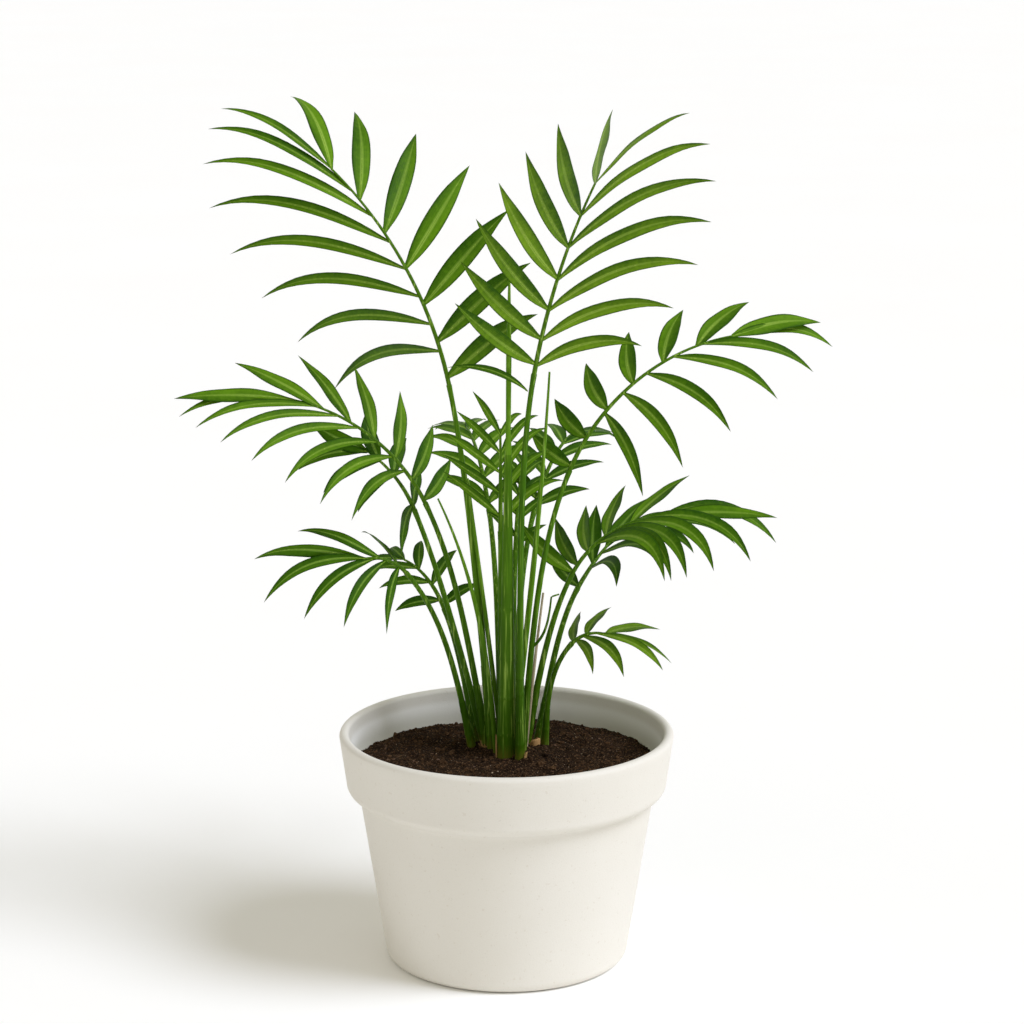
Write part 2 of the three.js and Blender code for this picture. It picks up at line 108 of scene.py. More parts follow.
# One entry a frond, in mm and degrees.
# foot: where its cane stands. head: the way it leans. lean: off upright at the foot, the neck and
# the tip. ease: how late the petiole bends. cane, stalk, rib: lengths along the path, the stalk
# from the foot to the neck. girth: the cane's radius at the foot. face: azimuth and height that
# the blade faces at its base and at its tip. gather: over one, leaflets stand closer at the base.
# left, right: a row of leaflets, with the length and width of the largest. spread: their angle
# off the rib at the base, what the middle adds, and at the tip. bow: how an angle grows along a
# leaflet. first: where on the rib the row begins. lift: off the blade. droop: how far tips hang.
# ends: share of the longest leaflet at the base and at the tip. lone: a single leaflet that grows
# from the petiole below the blade, at the share first of the stalk, clear of its middle line, and
# of its own tone.
FRONDS = dict(
    upper_left=dict(
        foot=[-7, 14], head=165.5, lean=[5.5, 12, 47], ease=4, cane=46, stalk=192, rib=125, girth=3.2,
        face=[[-128, 4], [-40, 8]], gather=1.04, tone="mid",
        left=dict(
            count=8, longest=100, width=6, spread=[101, -8, 6], bow=5,
            first=0.14, lift=-29, droop=0.7, ends=[1.25, 0.65]),
        right=dict(
            count=7, longest=64.5, width=10.5, spread=[56, 10, 36], bow=-16,
            first=0.03, lift=-12, droop=1, ends=[0.95, 1]),
    ),
    upper_right=dict(
        foot=[7, -3], head=-40, lean=[0, 12.5, 30], ease=4, cane=44, stalk=201.5, rib=104.5, girth=2.8,
        face=[[-55, 60], [-38, 55]], gather=1.12, tone="light",
        left=dict(
            count=7, longest=84.5, width=8.5, spread=[58, -5, 45], bow=-20,
            first=0.05, lift=11, droop=0.2, ends=[0.75, 1.25]),
        right=dict(
            count=7, longest=83.5, width=8.5, spread=[64, -2, 35], bow=38,
            first=0.04, lift=25, droop=0.3, ends=[0.6, 0.7]),
        lone=dict(
            longest=44, width=3.6, spread=[78, 0, 78], bow=50,
            first=0.955, lift=-45, droop=0.05, ends=[1, 1], clear=1.9, tone="dark"),
    ),
    right_arch=dict(
        foot=[8, 10], head=17.5, lean=[5, 24, 83], ease=3, cane=36, stalk=150, rib=113, girth=2.6,
        face=[[-7, 68], [-118, 32]], gather=1.08, tone="mid",
        left=dict(
            count=7, longest=38.5, width=9.5, spread=[75, 19, 1], bow=-29,
            first=0.02, lift=-6, droop=0.1, ends=[0.7, 1.3]),
        right=dict(
            count=6, longest=62, width=7, spread=[140, 10, -1], bow=9,
            first=0.3, lift=7, droop=0.9, ends=[0.4, 0.95]),
    ),
    left_arch=dict(
        foot=[-10, 20.5], head=173, lean=[9.8, 26, 78.5], ease=3, cane=34, stalk=133, rib=87.5, girth=2.8,
        face=[[-165, 77], [-111, 58]], gather=1.1, tone="mid",
        left=dict(
            count=7, longest=71.5, width=6, spread=[99, 3, 18], bow=26,
            first=0.22, lift=4, droop=0.5, ends=[0.4, 0.85]),
        right=dict(
            count=7, longest=47, width=8.5, spread=[78, 13, -16], bow=-19,
            first=0.02, lift=2, droop=0, ends=[0.85, 1.3]),
    ),
    low_left=dict(
        foot=[-18, 20], head=192, lean=[11.5, 40, 95.5], ease=2.5, cane=26, stalk=102, rib=23, girth=2.6,
        face=[[-158, 64], [-22, 0]], gather=0.82, tone="dark",
        left=dict(
            count=4, longest=46, width=5.5, spread=[103, 15, -5], bow=18,
            first=0.2, lift=-11, droop=1.3, ends=[0.85, 1.3]),
        right=dict(
            count=3, longest=46.5, width=6.5, spread=[60, -10, 24], bow=10,
            first=0.17, lift=-6, droop=0.85, ends=[0.45, 1.25]),
    ),
    low_right=dict(
        foot=[10, 24], head=4, lean=[10.5, 27, 87.5], ease=3, cane=30, stalk=94.5, rib=57.5, girth=3,
        face=[[-5, 61], [-148, 33]], gather=1.58, tone="mid",
        left=dict(
            count=6, longest=45.5, width=9, spread=[76, 22, -6], bow=-27,
            first=0.02, lift=-9, droop=0, ends=[0.8, 1.3]),
        right=dict(
            count=6, longest=70, width=8, spread=[43, 38, 3], bow=60,
            first=0.34, lift=6, droop=0.9, ends=[0.55, 0.95]),
    ),
    inner_left=dict(
        foot=[-11, 26], head=157, lean=[16, 24.5, 60.5], ease=3, cane=30, stalk=128, rib=39, girth=2.6,
        face=[[-16, 35], [-168, 48]], gather=0.6, tone="dark",
        left=dict(
            count=4, longest=35, width=6.5, spread=[119, 18, 46], bow=33,
            first=0.06, lift=-2, droop=0.4, ends=[1.2, 1.1]),
        right=dict(
            count=4, longest=26, width=8.5, spread=[47, 39, -4], bow=24,
            first=0.04, lift=12, droop=0.3, ends=[1.2, 1.3]),
    ),
    inner_right=dict(
        foot=[16, 29], head=56.5, lean=[19, 52, 73], ease=3, cane=24, stalk=85.5, rib=47, girth=2.6,
        face=[[-138, 14], [-45, 69]], gather=0.9, tone="dark",
        left=dict(
            count=4, longest=44.5, width=9.5, spread=[58, -3, -20], bow=-11,
            first=0.02, lift=16, droop=0, ends=[0.7, 1.3]),
        right=dict(
            count=4, longest=54.5, width=8, spread=[129, 1, 78], bow=60,
            first=0.29, lift=30, droop=0.6, ends=[0.5, 1.3]),
    ),
    small_right=dict(
        foot=[20, 24], head=0, lean=[2.5, 43.5, 104.5], ease=2.5, cane=20, stalk=58, rib=18.5, girth=2.4,
        face=[[-148, 64], [-58, 72]], gather=1.28, tone="light",
        left=dict(
            count=3, longest=33.5, width=7, spread=[76, -1, 46], bow=-30,
            first=0.07, lift=-7, droop=0.15, ends=[1, 1.3]),
        right=dict(
            count=4, longest=48, width=6, spread=[94, 5, 4], bow=37,
            first=0.12, lift=-4, droop=0.5, ends=[0.4, 0.8]),
    ),
    heart=dict(
        foot=[-3, 10], head=-93, lean=[-2, 1, 3], ease=1, cane=26, stalk=117, rib=50, girth=2.2,
        face=[[-89, 7], [-54, 10]], gather=0.9, tone="mid",
        left=dict(
            count=5, longest=38, width=4.5, spread=[44, 14, 34], bow=6,
            first=0.15, lift=0, droop=0, ends=[1, 0.8]),
        right=dict(
            count=5, longest=37, width=5, spread=[50, -8, 51], bow=23,
            first=0.09, lift=-10, droop=0.75, ends=[1.15, 0.5]),
    ),
    back=dict(
        foot=[3, 16], head=85, lean=[5, 26, 72], ease=3, cane=28, stalk=104, rib=56, girth=2.2,
        face=[[-90, 60], [-90, 80]], gather=1, tone="dark",
        **even_rows(
            0.12, 0.04, count=5, longest=24, width=4.5, spread=[48, 0, 20], bow=10,
            lift=0, droop=0.4, ends=[0.8, 0.9]),
    ),
    back_right=dict(
        foot=[3, 26], head=72, lean=[8, 46, 98], ease=3, cane=30, stalk=124, rib=92, girth=2.4,
        face=[[-60, 78], [64, 70]], gather=1, tone="dark",
        **even_rows(
            0.08, 0.04, count=6, longest=40, width=7.5, spread=[50, 0, 18], bow=12,
            lift=0, droop=0.4, ends=[0.75, 0.9]),
    ),
    back_left=dict(
        foot=[-3, 20], head=100, lean=[7, 46, 96], ease=3, cane=32, stalk=126, rib=92, girth=2.4,
        face=[[-110, 78], [112, 70]], gather=1, tone="mid",
        **even_rows(
            0.08, 0.04, count=6, longest=40, width=7.5, spread=[50, 0, 18], bow=12,
            lift=0, droop=0.4, ends=[0.75, 0.9]),
    ),
    left_back=dict(
        foot=[-16, 30], head=130, lean=[16, 34, 84], ease=2.5, cane=20, stalk=72, rib=40, girth=2.4,
        face=[[-100, 50], [-120, 70]], gather=1, tone="dark",
        **even_rows(
            0.12, 0.05, count=4, longest=28, width=6, spread=[76, 0, 20], bow=6,
            lift=0, droop=0.6, ends=[0.8, 0.95]),
    ),
)

# Shoots with no blade: lean at the foot and at the tip, and radii at the foot, middle and tip.
SHOOTS = dict(
    spear_right=dict(foot=[3, 9], head=0, lean=[6.5, 3], ease=2, length=200, radii=[1.8, 1.6, 0.6]),
    spear_left=dict(foot=[-5.5, 6.5], head=170, lean=[4, 26], ease=1.6, length=138, radii=[1.4, 1.3, 0.5]),
    spear_inner=dict(foot=[-2, 15], head=186, lean=[7, 7], ease=1, length=145, radii=[1.5, 1.3, 0.6]),
    dry_stalk=dict(foot=[10, 17], head=0, lean=[5, 7], ease=1, length=84, radii=[1.1, 0.9, 0.6]),
)

# The middle shoot: a stout cane with a spear of furled leaf on its tip
MIDDLE = dict(foot=[0, 2], head=-82, lean=[2, 3], ease=1, length=258, cane=160)
MIDDLE_CANE_RADII = [5.2, 3.2, 1.8]
MIDDLE_SPEAR_RADII = [1.2, 1.4, 0.4]

# A dead twig in the clump, snapped over near its tip, and the torn stub of an old cane
TWIG = dict(foot=[13.2, 11, 160], length=33, radii=[0.9, 0.45], lean=6, bend=50, snap=0.88, snapped=72)
STUB = dict(foot=[14.2, 24, GROUND], head=200, lean=14, length=20, radius=3.2, torn=(-90, 330, 6, 1.2))

# How finely the growth is drawn
PATH_STEPS = 48
LEAF_STEPS = 16
RIB_STEPS = 24
CANE_STEPS = 60
MIDDLE_CANE_STEPS = 140
PETIOLE_STEPS = 40
SPEAR_STEPS = 60
SHOOT_STEPS = 40
TWIG_STEPS = 30
SHEATH_GRID = (14, 10)

CANE_TOP_SHARE = 0.72
PETIOLE_FOOT_SHARE = 0.66
PETIOLE_START = 0.9
NECK_RADIUS_OF_FROND = 1.3
NECK_SWELLING = 0.25
NECK_REACH = 5
RIB_TIP_RADIUS = 0.6
RING_SWELLING = 0.07
RING_REACH = 0.8
RING_WANDER = 2
COLLAR_REACH = 7
ROOTED_DEPTH = 2.5
ROOTED_FLARE = 1.04
SHEATH_GAP = 0.15
SHEATH_THICKNESS = 0.22

chance = np.random.default_rng(41)


# ---- growth ----

def mix(low, high, share):
    return low + (high - low) * share


def unit(vector):
    return vector / np.linalg.norm(vector)


def way(lean, head):
    """The way a path runs that leans off upright towards a heading."""
    off, turn = math.radians(lean), math.radians(head)
    flat = math.sin(off)
    return np.array([flat * math.cos(turn), flat * math.sin(turn), math.cos(off)])


def facing(azimuth, height):
    return way(90 - height, azimuth)


class Path:
    """A line of growth from a start, leaning by share of its length."""

    def __init__(self, start, head, lean_at, length):
        self.head, self.lean_at, self.length = head, lean_at, length
        points = [np.array(start, float)]
        for step in range(PATH_STEPS):
            along = way(lean_at((step + 0.5) / PATH_STEPS), head)
            points.append(points[-1] + along * length / PATH_STEPS)
        self.points = np.array(points)

    def at(self, share):
        place = min(max(share, 0), 1) * PATH_STEPS
        step = min(int(place), PATH_STEPS - 1)
        return mix(self.points[step], self.points[step + 1], place - step)

    def along(self, share):
        return way(self.lean_at(share), self.head)


def stem_path(stem, length):
    def lean_at(share):
        return mix(stem["lean"][0], stem["lean"][1], share ** stem["ease"])
    return Path([*stem["foot"], GROUND], stem["head"], lean_at, length)


def rib_path(frond, stalk):
    def lean_at(share):
        return mix(frond["lean"][1], frond["lean"][2], share)
    return Path(stalk.points[-1], frond["head"], lean_at, frond["rib"])


class Strands:
    """Rows of points that leaflets and limbs grow along, with what the growth trees read at each."""

    def __init__(self):
        self.rows = []

    def add(self, points, side, face, size, tone, limb=0, swing=0.0):
        count = len(points)
        share = np.linspace(0, 1, count)
        strand = len(self.rows)
        even = np.ones(count)
        middle = count // 2
        ahead = np.array(points[middle]) - np.array(points[middle - 1])
        hand = np.sign(np.cross(side[middle], face[middle]).dot(ahead))
        self.rows.append({
            "spot": np.array(points) * MM, "side": np.array(side), "face": np.array(face),
            "size": np.array(size) * MM, "share": share, "tone": even * tone,
            "strand": even * strand, "limb": even * limb, "swing": even * swing, "hand": even * hand,
        })

    def mesh(self, name):
        rows = {key: np.concatenate([row[key] for row in self.rows]) for key in self.rows[0]}
        mesh = bpy.data.meshes.new(name)
        mesh.from_pydata(rows.pop("spot").tolist(), [], [])
        for key, values in rows.items():
            kind = "FLOAT_VECTOR" if values.ndim == 2 else "INT" if key in ("strand", "limb") else "FLOAT"
            values = values.astype(np.int32 if kind == "INT" else np.float32)
            slot = mesh.attributes.new(key, kind, "POINT").data
            slot.foreach_set("vector" if kind == "FLOAT_VECTOR" else "value", values.ravel())
        return mesh


def tip_share(share):
    """How far into its drawn-out tip a leaflet is, from 0 to 1."""
    return max(0, (share - LEAF_TIP_START) / (1 - LEAF_TIP_START))


def swell(share):
    """Half the width of a leaflet along it, as a share of its half width at the widest."""
    leaf = math.sin(math.pi * share ** LEAF_SHOULDER) ** LEAF_FULLNESS if 0 < share < 1 else 0
    return max(leaf * (1 - LEAF_TIP_PINCH * tip_share(share)), LEAF_FOOT_SHARE * (1 - share))


def add_leaflet(strands, frond, rib, row, sign, share):
    along = rib.along(share)
    face = unit(mix(facing(*frond["face"][0]), facing(*frond["face"][1]), share))
    normal = unit(face - along * face.dot(along))
    lift = math.radians(row["lift"])
    out = np.cross(along, normal) * sign * math.cos(lift) + normal * math.sin(lift)

    end = row["ends"][0] if share < 0.5 else row["ends"][1]
    size = 1 - (1 - end) * abs(2 * share - 1) ** LEAF_SHORTENING
    length = row["longest"] * size
    half_width = row["width"] * mix(NARROWEST_SHARE, 1, size) / 2
    swing = row["spread"][1] * 4 * share * (1 - share)
    spread = mix(row["spread"][0], row["spread"][2], share) + swing - row["bow"] / 2

    points, ways = [rib.at(share) + out * row.get("clear", 0)], []
    for step in range(LEAF_STEPS):
        place = (step + 0.5) / LEAF_STEPS
        angle = math.radians(spread + row["bow"] * place)
        run = along * math.cos(angle) + out * math.sin(angle)
        hang = row["droop"] * place ** 2 + LEAF_TIP_HANG * tip_share(place)
        run[2] -= hang * math.hypot(run[0], run[1])
        run = unit(run)
        ways.append(run)
        points.append(points[-1] + run * length / LEAF_STEPS)

    twist = math.radians(chance.uniform(-LEAF_TWIST, LEAF_TWIST))
    sides, faces, widths = [], [], []
    for step in range(LEAF_STEPS + 1):
        run = unit(ways[max(step - 1, 0)] + ways[min(step, LEAF_STEPS - 1)])
        flat = unit(normal - run * normal.dot(run))
        across = np.cross(run, flat) * -sign
        turn = twist * step / LEAF_STEPS
        faces.append(flat * math.cos(turn) - across * math.sin(turn))
        sides.append(across * math.cos(turn) + flat * math.sin(turn))
        widths.append(half_width * swell(step / LEAF_STEPS))
    tone = mix(chance.uniform(0, 1), share, TONE_BY_PLACE)
    strands.add(points, sides, faces, widths, tone, swing=LEAF_SCIMITAR)


def add_limb(strands, path, start, end, radius_at, steps, tone=0.5, rooted=False):
    """A limb along a path. A rooted one starts a little below the ground."""
    shares = [step / steps for step in range(steps + 1)]
    places = [mix(start, end, share) for share in shares]
    points = [path.at(place) for place in places]
    sizes = [radius_at(share) for share in shares]
    if rooted:
        places.insert(0, start)
        points.insert(0, points[0] - path.along(start) * ROOTED_DEPTH)
        sizes.insert(0, sizes[0] * ROOTED_FLARE)
    level = facing(path.head + 90, 0)
    faces = [np.cross(level, path.along(place)) for place in places]
    strands.add(points, [level] * len(points), faces, sizes, tone, limb=1)


# ---- nodes ----

class Reading:
    """A value read from a node. A sum written with readings adds its Math nodes."""

    def __init__(self, nodes, socket):
        self.nodes, self.socket = nodes, socket

    def maths(self, operation, *values):
        return self.nodes.add("ShaderNodeMath", {"operation": operation}, dict(enumerate(values)))

    def __add__(self, other):
        return self.maths("ADD", self, other)

    def __sub__(self, other):
        return self.maths("SUBTRACT", self, other)

    def __rsub__(self, other):
        return self.maths("SUBTRACT", other, self)

    def __mul__(self, other):
        return self.maths("MULTIPLY", self, other)

    def __pow__(self, other):
        return self.maths("POWER", self, other)

    def __gt__(self, other):
        return self.maths("GREATER_THAN", self, other)

    def __lt__(self, other):
        return self.maths("LESS_THAN", self, other)

    def __abs__(self):
        return self.maths("ABSOLUTE", self)

    def sine(self):
        return self.maths("SINE", self)

    def at_least(self, other):
        return self.maths("MAXIMUM", self, other)

    def rising(self, low, high):
        """0 below low, 1 above high, smooth between."""
        return self.nodes.add(
            "ShaderNodeMapRange", {"interpolation_type": "SMOOTHSTEP"},
            {"Value": self, "From Min": low, "From Max": high})

    def other(self, name):
        return Reading(self.nodes, open_socket(self.socket.node.outputs, name))


def open_socket(sockets, name):
    if isinstance(name, int):
        return sockets[name]
    return next(socket for socket in sockets if socket.name == name and socket.enabled)


class Nodes:
    """A node tree that is filled one node at a time."""

    def __init__(self, tree):
        self.tree = tree

    def add(self, kind, settings=None, values=None):
        node = self.tree.nodes.new(kind)
        for name, setting in (settings or {}).items():
            setattr(node, name, setting)
        for name, value in (values or {}).items():
            for one in value if isinstance(value, list) else [value]:
                socket = open_socket(node.inputs, name)
                if isinstance(one, Reading):
                    self.tree.links.new(one.socket, socket)
                else:
                    socket.default_value = one
        outputs = [socket for socket in node.outputs if socket.enabled]
        return Reading(self, outputs[0]) if outputs else node

    def vector(self, operation, *values):
        return self.add("ShaderNodeVectorMath", {"operation": operation}, dict(enumerate(values)))

    def scaled(self, vector, factor):
        return self.add("ShaderNodeVectorMath", {"operation": "SCALE"}, {0: vector, "Scale": factor})

    def parts(self, vector):
        """The first part of a vector. Its others are called Y and Z."""
        return self.add("ShaderNodeSeparateXYZ", None, {"Vector": vector})


class Growth(Nodes):
    """A Geometry Nodes tree whose first input is the geometry it grows from."""

    def __init__(self, name, sizes):
        super().__init__(bpy.data.node_groups.new(name, "GeometryNodeTree"))
        face = self.tree.interface
        face.new_socket("Geometry", in_out="INPUT", socket_type="NodeSocketGeometry")
        for label, value in sizes.items():
            kind = "Material" if value is None else "Int" if isinstance(value, int) else "Float"
            socket = face.new_socket(label, in_out="INPUT", socket_type="NodeSocket" + kind)
            if value is not None:
                socket.default_value = value
        face.new_socket("Geometry", in_out="OUTPUT", socket_type="NodeSocketGeometry")
        self.inputs = self.add("NodeGroupInput")

    def size(self, label):
        return self.inputs.other(label)

    def kept(self, name, kind="FLOAT"):
        return self.add("GeometryNodeInputNamedAttribute", {"data_type": kind}, {"Name": name})

    def keep(self, geometry, name, value, kind="FLOAT", domain="POINT"):
        return self.add(
            "GeometryNodeStoreNamedAttribute", {"data_type": kind, "domain": domain},
            {"Geometry": geometry, "Name": name, "Value": value})

    def strand_lines(self):
        """The strands as lines that remember their own centres."""
        spot = self.add("GeometryNodeInputPosition")
        points = self.add("GeometryNodeMeshToPoints", None, {"Mesh": self.size("Geometry")})
        lines = self.add("GeometryNodePointsToCurves", None, {
            "Points": points, "Curve Group ID": self.kept("strand", "INT"), "Weight": self.kept("share")})
        return self.keep(lines, "centre", spot, "FLOAT_VECTOR")

    def chosen(self, lines, limbs):
        wanted = self.kept("limb") > 0.5 if limbs else self.kept("limb") < 0.5
        return self.add(
            "GeometryNodeSeparateGeometry", {"domain": "CURVE"},
            {"Geometry": lines, "Selection": wanted})

    def swept(self, lines, corners, across, rise, skin):
        """A ring carried along the lines, set across and above their centres, closed at both ends."""
        ring = self.add("GeometryNodeCurvePrimitiveCircle", None, {"Resolution": corners, "Radius": 1.0})
        spot = self.parts(self.add("GeometryNodeInputPosition"))
        ring = self.keep(ring, "across", spot)
        ring = self.keep(ring, "rise", spot.other("Y"))
        form = self.add("GeometryNodeCurveToMesh", None, {
            "Curve": lines, "Profile Curve": ring, "Fill Caps": True})
        # A line whose sides are left-handed takes the ring the other way round, so it faces outwards
        form = self.keep(form, "across", self.kept("across") * self.kept("hand"))
        centre, side, face = [self.kept(name, "FLOAT_VECTOR") for name in ("centre", "side", "face")]
        off_centre = self.vector("ADD", self.scaled(side, across), self.scaled(face, rise))
        place = self.vector("ADD", centre, off_centre)
        form = self.add("GeometryNodeSetPosition", None, {"Geometry": form, "Position": place})
        form = self.add("GeometryNodeMergeByDistance", None, {"Geometry": form, "Distance": 0.002 * MM})
        form = self.add("GeometryNodeSetShadeSmooth", None, {"Geometry": form, "Shade Smooth": True})
        return self.add("GeometryNodeSetMaterial", None, {"Geometry": form, "Material": skin})

    def limbs(self, lines, corners, skin):
        """Round limbs with a shallow channel down the inner side."""
        across, rise, size = self.kept("across"), self.kept("rise"), self.kept("size")
        groove = 1 - self.size("Groove") * rise.at_least(0) ** 3
        return self.swept(
            self.chosen(lines, limbs=True), self.size(corners),
            across * size, rise * groove * size, self.size(skin))

    def finished(self, parts):
        whole = self.add("GeometryNodeJoinGeometry", None, {"Geometry": parts})
        whole = self.add("GeometryNodeRealizeInstances", None, {"Geometry": whole})
        self.add("NodeGroupOutput", None, {"Geometry": whole})
        return self.tree


def placed(name, data):
    thing = bpy.data.objects.new(name, data)
    bpy.context.scene.collection.objects.link(thing)
    return thing


def grown(name, source, tree, **sizes):
    """The plain mesh object that a tree makes of a mesh."""
    bed = placed(name + "_bed", source)
    modifier = bed.modifiers.new("growth", "NODES")
    modifier.node_group = tree
    for item in tree.interface.items_tree:
        if item.in_out == "INPUT" and item.name in sizes:
            modifier[item.identifier] = sizes[item.name]
    ready = bed.evaluated_get(bpy.context.evaluated_depsgraph_get())
    mesh = bpy.data.meshes.new_from_object(ready)
    mesh.name = name
    bpy.data.objects.remove(bed)
    return placed(name, mesh)


def blade_growth():
    """Leaflets with their midribs, and the rib that carries them."""
    grow = Growth("blade growth", {
        "Edge corners": 12, "Thickness": 0.05, "Keel": 0.2, "Ripple": 0.1,
        "Midrib": 0.3 * MM, "Rib corners": 10, "Groove": 0.3,
        "Leaf skin": None, "Midrib skin": None, "Rib skin": None})
    lines = grow.strand_lines()
    leaves = grow.chosen(lines, limbs=False)
    across, rise, size = grow.kept("across"), grow.kept("rise"), grow.kept("size")
    share = grow.kept("share")

    wide = across * (across * grow.kept("swing") + 1)
    wave = (share * 11 + grow.kept("tone") * 20).sine() * across * across * grow.size("Ripple")
    height = rise * grow.size("Thickness") + abs(across) * grow.size("Keel") + wave
    blade = grow.swept(
        leaves, grow.size("Edge corners"), wide * size, height * size, grow.size("Leaf skin"))

    slim = grow.size("Midrib") * (1 - share * 0.8) * share.rising(1, 0.96)
    top = size * grow.size("Thickness")
    midrib = grow.swept(leaves, 6, across * slim, rise * slim * 0.7 + top, grow.size("Midrib skin"))
    return grow.finished([blade, midrib, grow.limbs(lines, "Rib corners", "Rib skin")])


def limb_growth():
    grow = Growth("limb growth", {"Corners": 14, "Groove": 0.2, "Skin": None})
    return grow.finished([grow.limbs(grow.strand_lines(), "Corners", "Skin")])


def crumb_growth():
    """Crumbs strewn over level ground, so many a square metre, each turned and squeezed its own way."""
    grow = Growth("crumb growth", {
        "Density": 60000.0, "Smallest": 0.4 * MM, "Largest": 1.6 * MM, "Facets": 1,
        "Seed": 1, "Skin": None})
    seed = grow.size("Seed")
    up = grow.parts(grow.add("GeometryNodeInputNormal"))
    points = grow.add("GeometryNodeDistributePointsOnFaces", None, {
        "Mesh": grow.size("Geometry"), "Selection": up.other("Z") > 0.4,
        "Density": grow.size("Density"), "Seed": seed})

    def random(low, high, offset, kind="FLOAT"):
        return grow.add("FunctionNodeRandomValue", {"data_type": kind}, {
            "Min": low, "Max": high, "Seed": seed + offset})

    stone = grow.add("GeometryNodeMeshIcoSphere", None, {"Radius": 1.0, "Subdivisions": grow.size("Facets")})
    lump = grow.add("ShaderNodeTexNoise", None, {"Scale": 1.3, "Detail": 2.0})
    swollen = grow.scaled(grow.add("GeometryNodeInputPosition"), lump * 1.5 + 0.25)
    stone = grow.add("GeometryNodeSetPosition", None, {"Geometry": stone, "Position": swollen})
    spread = random(0.0, 1.0, 1) ** 2.5
    size = grow.size("Smallest") + (grow.size("Largest") - grow.size("Smallest")) * spread
    squeeze = random((0.55, 0.55, 0.45), (1.15, 1.15, 0.95), 2, "FLOAT_VECTOR")
    crumbs = grow.add("GeometryNodeInstanceOnPoints", None, {
        "Points": points, "Instance": stone,
        "Rotation": grow.add("FunctionNodeEulerToRotation", None, {
            "Euler": random((0.0, 0.0, 0.0), (0.5, 0.5, 6.28), 3, "FLOAT_VECTOR")}),
        "Scale": grow.scaled(squeeze, size)})
    crumbs = grow.keep(crumbs, "tone", random(0.0, 1.0, 4), domain="INSTANCE")
    crumbs = grow.add("GeometryNodeRealizeInstances", None, {"Geometry": crumbs})
    crumbs = grow.add("GeometryNodeSetMaterial", None, {
        "Geometry": crumbs, "Material": grow.size("Skin")})
    return grow.finished([crumbs])


# ---- finishes ----

def hue(code):
    """The colour that a six-figure code names, as the shader takes it."""
    parts = [int(code[start:start + 2], 16) / 255 for start in (0, 2, 4)]
    return (*[part / 12.92 if part <= 0.04045 else ((part + 0.055) / 1.055) ** 2.4 for part in parts], 1)


class Finish(Nodes):
    """A material and the patterns its colour and relief are worked out from."""

    def __init__(self, name):
        self.material = bpy.data.materials.new(name)
        self.material.use_nodes = True
        super().__init__(self.material.node_tree)
        self.tree.nodes.clear()
        self.place = self.add("ShaderNodeTexCoord").other("Object")

    def kept(self, name):
        return self.add("ShaderNodeAttribute", {"attribute_name": name}).other("Fac")

    def noise(self, scale, detail=2.0, rough=0.5, squash=(1, 1, 1)):
        """Noise over the piece. scale is in patches a metre."""
        place = self.add("ShaderNodeMapping", None, {"Vector": self.place, "Scale": squash})
        return self.add("ShaderNodeTexNoise", None, {
            "Vector": place, "Scale": scale, "Detail": detail, "Roughness": rough})

    def below(self, heights, pattern, wander):
        """1 under the lower of two heights and 0 over the upper, which wander with a pattern."""
        upper, lower = [height * MM for height in heights]
        height = self.parts(self.place).other("Z")
        return (height + (pattern - 0.5) * wander * MM).rising(upper, lower)

    def blend(self, first, second, share):
        return self.add("ShaderNodeMix", {"data_type": "RGBA", "clamp_factor": True}, {
            "Factor": share, "A": first, "B": second})

    def relief(self, height, distance, strength=1.0):
        return self.add("ShaderNodeBump", None, {
            "Height": height, "Distance": distance, "Strength": strength})

    def done(self, **values):
        names = {"colour": "Base Color", "rough": "Roughness", "normal": "Normal"}
        sockets = {names.get(name, name.replace("_", " ")): value for name, value in values.items()}
        skin = self.add("ShaderNodeBsdfPrincipled", None, sockets)
        self.add("ShaderNodeOutputMaterial", None, {"Surface": skin})
        return self.material


def leaf_skin(name, deep, fresh, pale):
    """Satin leaf: a fine mottle, painted shade that leaves the half nearer the rib's base lighter than
    the other, a soft pale stripe up the middle that fades to the tip, and dark margins."""
    skin = Finish(name)
    across, share, tone = skin.kept("across"), skin.kept("share"), skin.kept("tone")
    edge = abs(across)
    mottle = skin.noise(420, 3)
    cloud = skin.noise(38)
    veins = (across * 33 + mottle * 2).sine()
    # The across term is painted shade: the half nearer the rib's base lighter and the other darker, as light
    # falls on a keeled blade.
    light = tone * 0.45 + cloud * 0.8 - 0.12 + veins * 0.05 + (mottle - 0.5) * 0.6 - across * 0.3
    colour = skin.blend(hue(deep), hue(fresh), light)
    stripe = (edge + share * 0.2).rising(0.38, 0.04) * (1 - share * 0.5) * (tone * 0.5 + 0.4)
    colour = skin.blend(colour, hue(pale), stripe)
    colour = skin.blend(colour, hue(deep), edge.rising(0.66, 1) * 0.85)
    colour = skin.blend(colour, hue(deep), share.rising(0.8, 1) * 0.5)
    rough = mottle * 0.2 + veins * 0.03 + 0.4
    height = veins * 0.5 + mottle * 0.8
    return skin.done(
        colour=colour, rough=rough, normal=skin.relief(height, 0.06 * MM, 0.7),
        Specular_IOR_Level=LEAF_SHINE)


